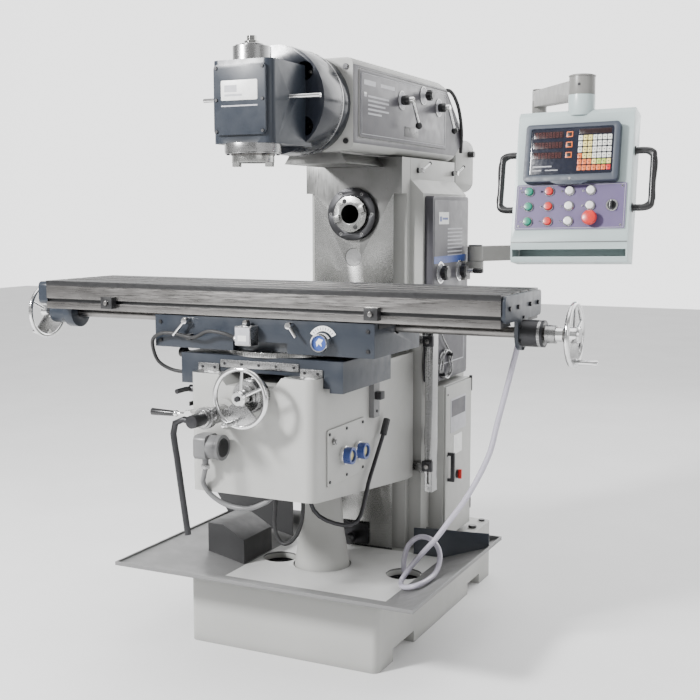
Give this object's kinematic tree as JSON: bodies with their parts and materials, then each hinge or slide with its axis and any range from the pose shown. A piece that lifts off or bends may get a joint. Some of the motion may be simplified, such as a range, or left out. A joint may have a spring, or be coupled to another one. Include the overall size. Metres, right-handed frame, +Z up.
{
  "type": "universal knee-type milling machine",
  "caption": "Knee-type milling machine with a horizontal column spindle, a swivelling vertical head on a sliding ram, a swivel T-slot table, handwheels and a hanging control pendant.",
  "frame": {"origin": "On the floor plane, in the middle of the machine's width, below the column's front way face.", "axes": "+X to the operator's right along the table, +Y back from the operator towards the column, +Z up."},
  "size_m": [2.1504, 1.7983, 1.983],
  "materials": {
    "light_paint": "satin hammered light grey enamel",
    "blue_paint": "semi-gloss slate blue-grey enamel",
    "tray_paint": "satin mid-grey enamel",
    "purple_paint": "satin purple-grey enamel",
    "arm_paint": "satin warm grey enamel",
    "mint_paint": "semi-gloss pale mint enamel",
    "bezel_plastic": "fine-grained blue-grey moulding",
    "ground_steel": "ground and oiled",
    "chrome": "polished",
    "dark_steel": "oiled dark steel",
    "black_plastic": "smooth black",
    "hose_rubber": "clear braided hose with a purple cast",
    "green_plastic": "smooth",
    "red_plastic": "smooth",
    "white_plastic": "smooth"
  },
  "bodies": {
    "frame": {"base": "light_paint", "chip_tray": "tray_paint", "column": "light_paint", "column_side_box": "purple_paint", "electrical_cabinet": "light_paint", "stop_rail": "ground_steel", "arm_bracket": "arm_paint", "bearing_cap": "dark_steel", "coolant_hose": "hose_rubber"},
    "cabinet_door": {"cabinet_door": "light_paint"},
    "horizontal_spindle": {"horizontal_spindle": "ground_steel"},
    "speed_knob": {"speed_knob": "black_plastic"},
    "range_knob": {"range_knob": "black_plastic"},
    "ram_clamp_front": {"ram_clamp_front": "chrome"},
    "ram_clamp_rear": {"ram_clamp_rear": "chrome"},
    "ram": {"ram": "light_paint", "ram_motor": "light_paint", "ram_flange": "blue_paint"},
    "ram_lever_front": {"ram_lever_front": "black_plastic"},
    "ram_knob": {"ram_knob": "black_plastic"},
    "ram_lever_rear": {"ram_lever_rear": "black_plastic"},
    "head": {"head_body": "blue_paint"},
    "vertical_spindle": {"vertical_spindle": "ground_steel"},
    "knee": {"knee": "light_paint", "knee_control_box": "tray_paint"},
    "elevating_screw": {"elevating_screw": "ground_steel"},
    "elevating_crank": {"elevating_crank": "dark_steel"},
    "cross_handwheel": {"cross_handwheel": "chrome"},
    "feed_lever": {"feed_lever": "black_plastic"},
    "knee_lock_lever": {"knee_lock_lever": "dark_steel"},
    "knee_clamp_lever": {"knee_clamp_lever": "dark_steel"},
    "saddle": {"lower_saddle": "blue_paint"},
    "saddle_clamp_knob": {"saddle_clamp_knob": "black_plastic"},
    "swivel_base": {"table_base": "blue_paint"},
    "table_dial": {"table_dial": "dark_steel"},
    "table_clamp_left": {"table_clamp_left": "chrome"},
    "table_clamp_right": {"table_clamp_right": "chrome"},
    "table": {"table": "ground_steel", "table_bracket_left": "blue_paint", "table_bracket_right": "blue_paint"},
    "table_screw": {"lead_screw": "ground_steel", "handwheel_left": "chrome", "handwheel_right": "chrome"},
    "pendant_lower_arm": {"pendant_lower_arm": "arm_paint"},
    "pendant_upper_arm": {"pendant_upper_arm": "arm_paint"},
    "pendant": {"pendant_case": "mint_paint", "dro_unit": "bezel_plastic"},
    "button_green_1": {"button_green_1": "green_plastic"},
    "button_green_2": {"button_green_2": "green_plastic"},
    "button_green_3": {"button_green_3": "green_plastic"},
    "button_red_1": {"button_red_1": "red_plastic"},
    "button_red_2": {"button_red_2": "red_plastic"},
    "button_red_3": {"button_red_3": "red_plastic"},
    "button_white_1": {"button_white_1": "white_plastic"},
    "button_white_2": {"button_white_2": "white_plastic"},
    "button_white_3": {"button_white_3": "white_plastic"},
    "button_white_4": {"button_white_4": "white_plastic"},
    "button_white_5": {"button_white_5": "white_plastic"},
    "stop_button": {"stop_button": "red_plastic"},
    "selector_switch": {"selector_switch": "black_plastic"}
  },
  "joints": [
    {"name": "cabinet_door_hinge", "type": "hinge", "parent": "frame", "child": "cabinet_door", "pos_m": [0.3043, 0.436, 0.53], "axis": [0, 0, 1], "range_deg": [0, 110]},
    {"name": "horizontal_spindle_spin", "type": "hinge", "parent": "frame", "child": "horizontal_spindle", "pos_m": [0, -0.03, 1.4544], "axis": [0, 1, 0], "continuous": true},
    {"name": "speed_knob_turn", "type": "hinge", "parent": "frame", "child": "speed_knob", "pos_m": [0.272, 0.168, 1.242], "axis": [1, 0, 0], "range_deg": [-60, 60]},
    {"name": "range_knob_turn", "type": "hinge", "parent": "frame", "child": "range_knob", "pos_m": [0.272, 0.37, 1.241], "axis": [1, 0, 0], "range_deg": [-60, 60]},
    {"name": "ram_clamp_front_turn", "type": "hinge", "parent": "frame", "child": "ram_clamp_front", "pos_m": [0.1913, 0.14, 1.612], "axis": [1, 0, 0], "range_deg": [-25, 60]},
    {"name": "ram_clamp_rear_turn", "type": "hinge", "parent": "frame", "child": "ram_clamp_rear", "pos_m": [0.1913, 0.5, 1.612], "axis": [1, 0, 0], "range_deg": [-25, 60]},
    {"name": "ram_slide", "type": "slide", "parent": "frame", "child": "ram", "axis": [0, 1, 0], "range_m": [-0.12, 0.25]},
    {"name": "ram_lever_front_turn", "type": "hinge", "parent": "ram", "child": "ram_lever_front", "pos_m": [0.172, 0.035, 1.852], "axis": [1, 0, 0], "range_deg": [-35, 35]},
    {"name": "ram_knob_turn", "type": "hinge", "parent": "ram", "child": "ram_knob", "pos_m": [0.172, 0.236, 1.887], "axis": [1, 0, 0], "range_deg": [-60, 60]},
    {"name": "ram_lever_rear_turn", "type": "hinge", "parent": "ram", "child": "ram_lever_rear", "pos_m": [0.172, 0.394, 1.856], "axis": [1, 0, 0], "range_deg": [-35, 35]},
    {"name": "head_swivel", "type": "hinge", "parent": "ram", "child": "head", "pos_m": [0, -0.42, 1.808], "axis": [0, 1, 0], "range_deg": [-45, 45]},
    {"name": "vertical_spindle_spin", "type": "hinge", "parent": "head", "child": "vertical_spindle", "pos_m": [0, -0.705, 1.609], "axis": [0, 0, 1], "continuous": true},
    {"name": "knee_slide", "type": "slide", "parent": "frame", "child": "knee", "axis": [0, 0, 1], "range_m": [-0.162, 0.048], "deforming": ["coolant_hose"]},
    {"name": "elevating_crank_turn", "type": "hinge", "parent": "knee", "child": "elevating_crank", "pos_m": [-0.085, -0.925, 0.845], "axis": [0, 1, 0], "range_deg": [-9725, 2885]},
    {"name": "elevating_screw_turn", "type": "hinge", "parent": "knee", "child": "elevating_screw", "pos_m": [0, -0.255, 0.5], "axis": [0, 0, 1], "range_deg": [-9725, 2885]},
    {"name": "cross_handwheel_turn", "type": "hinge", "parent": "knee", "child": "cross_handwheel", "pos_m": [0.02, -0.83, 0.908], "axis": [0, 1, 0], "range_deg": [-5765, 5765]},
    {"name": "feed_lever_turn", "type": "hinge", "parent": "knee", "child": "feed_lever", "pos_m": [-0.205, -0.76, 0.83], "axis": [0, 1, 0], "range_deg": [-20, 20]},
    {"name": "knee_lock_turn", "type": "hinge", "parent": "knee", "child": "knee_lock_lever", "pos_m": [-0.222, -0.7, 0.903], "axis": [1, 0, 0], "range_deg": [0, 45]},
    {"name": "knee_clamp_turn", "type": "hinge", "parent": "knee", "child": "knee_clamp_lever", "pos_m": [0.115, -0.56, 0.56], "axis": [0, 0, 1], "range_deg": [-20, 0]},
    {"name": "saddle_slide", "type": "slide", "parent": "knee", "child": "saddle", "axis": [0, 1, 0], "range_m": [-0.096, 0.096]},
    {"name": "saddle_clamp_turn", "type": "hinge", "parent": "saddle", "child": "saddle_clamp_knob", "pos_m": [-0.289, -0.6, 1.003], "axis": [1, 0, 0], "range_deg": [-90, 90]},
    {"name": "swivel_base_turn", "type": "hinge", "parent": "saddle", "child": "swivel_base", "pos_m": [0, -0.5, 1.02], "axis": [0, 0, 1], "range_deg": [-30, 30]},
    {"name": "table_dial_turn", "type": "hinge", "parent": "swivel_base", "child": "table_dial", "pos_m": [0.221, -0.676, 1.071], "axis": [0, 1, 0], "range_deg": [-150, 150]},
    {"name": "table_clamp_left_turn", "type": "hinge", "parent": "swivel_base", "child": "table_clamp_left", "pos_m": [-0.264, -0.676, 1.118], "axis": [0, 1, 0], "range_deg": [-30, 30]},
    {"name": "table_clamp_right_turn", "type": "hinge", "parent": "swivel_base", "child": "table_clamp_right", "pos_m": [0.112, -0.676, 1.118], "axis": [0, 1, 0], "range_deg": [-30, 30]},
    {"name": "table_slide", "type": "slide", "parent": "swivel_base", "child": "table", "axis": [1, 0, 0], "range_m": [-0.348, 0.348]},
    {"name": "table_screw_turn", "type": "hinge", "parent": "table", "child": "table_screw", "pos_m": [0, -0.505, 1.1095], "axis": [1, 0, 0], "range_deg": [-20885, 20885]},
    {"name": "lower_arm_swing", "type": "hinge", "parent": "frame", "child": "pendant_lower_arm", "pos_m": [0.308, 0.45, 1.3], "axis": [0, 0, 1], "range_deg": [-20, 25]},
    {"name": "upper_arm_swing", "type": "hinge", "parent": "pendant_lower_arm", "child": "pendant_upper_arm", "pos_m": [0.465, 0.744, 1.91], "axis": [0, 0, 1], "range_deg": [-8, 60]},
    {"name": "pendant_swivel", "type": "hinge", "parent": "pendant_upper_arm", "child": "pendant", "pos_m": [0.848, -0.104, 1.828], "axis": [0, 0, 1], "range_deg": [-50, 50]},
    {"name": "button_green_1_press", "type": "slide", "parent": "pendant", "child": "button_green_1", "axis": [0, 0.9703, -0.2419], "range_m": [0, 0.004], "stiffness_N_per_m": 300, "springref_m": -0.002},
    {"name": "button_green_2_press", "type": "slide", "parent": "pendant", "child": "button_green_2", "axis": [0, 0.9703, -0.2419], "range_m": [0, 0.004], "stiffness_N_per_m": 300, "springref_m": -0.002},
    {"name": "button_green_3_press", "type": "slide", "parent": "pendant", "child": "button_green_3", "axis": [0, 0.9703, -0.2419], "range_m": [0, 0.004], "stiffness_N_per_m": 300, "springref_m": -0.002},
    {"name": "button_red_1_press", "type": "slide", "parent": "pendant", "child": "button_red_1", "axis": [0, 0.9703, -0.2419], "range_m": [0, 0.004], "stiffness_N_per_m": 300, "springref_m": -0.002},
    {"name": "button_red_2_press", "type": "slide", "parent": "pendant", "child": "button_red_2", "axis": [0, 0.9703, -0.2419], "range_m": [0, 0.004], "stiffness_N_per_m": 300, "springref_m": -0.002},
    {"name": "button_red_3_press", "type": "slide", "parent": "pendant", "child": "button_red_3", "axis": [0, 0.9703, -0.2419], "range_m": [0, 0.004], "stiffness_N_per_m": 300, "springref_m": -0.002},
    {"name": "button_white_1_press", "type": "slide", "parent": "pendant", "child": "button_white_1", "axis": [0, 0.9703, -0.2419], "range_m": [0, 0.004], "stiffness_N_per_m": 300, "springref_m": -0.002},
    {"name": "button_white_2_press", "type": "slide", "parent": "pendant", "child": "button_white_2", "axis": [0, 0.9703, -0.2419], "range_m": [0, 0.004], "stiffness_N_per_m": 300, "springref_m": -0.002},
    {"name": "button_white_3_press", "type": "slide", "parent": "pendant", "child": "button_white_3", "axis": [0, 0.9703, -0.2419], "range_m": [0, 0.004], "stiffness_N_per_m": 300, "springref_m": -0.002},
    {"name": "button_white_4_press", "type": "slide", "parent": "pendant", "child": "button_white_4", "axis": [0, 0.9703, -0.2419], "range_m": [0, 0.004], "stiffness_N_per_m": 300, "springref_m": -0.002},
    {"name": "button_white_5_press", "type": "slide", "parent": "pendant", "child": "button_white_5", "axis": [0, 0.9703, -0.2419], "range_m": [0, 0.004], "stiffness_N_per_m": 300, "springref_m": -0.002},
    {"name": "stop_button_press", "type": "slide", "parent": "pendant", "child": "stop_button", "axis": [0, 0.9703, -0.2419], "range_m": [0, 0.004], "stiffness_N_per_m": 500, "springref_m": -0.002},
    {"name": "selector_turn", "type": "hinge", "parent": "pendant", "child": "selector_switch", "pos_m": [0.97544, -0.21597, 1.48418], "axis": [0, 0.9703, -0.2419], "range_deg": [-45, 45]}
  ],
  "couplings": [
    {"joint": "elevating_crank_turn", "follows": "knee_slide", "rad_per_m": 1047.2},
    {"joint": "elevating_screw_turn", "follows": "knee_slide", "rad_per_m": 1047.2},
    {"joint": "cross_handwheel_turn", "follows": "saddle_slide", "rad_per_m": 1047.2},
    {"joint": "table_screw_turn", "follows": "table_slide", "rad_per_m": 1047.2}
  ]
}
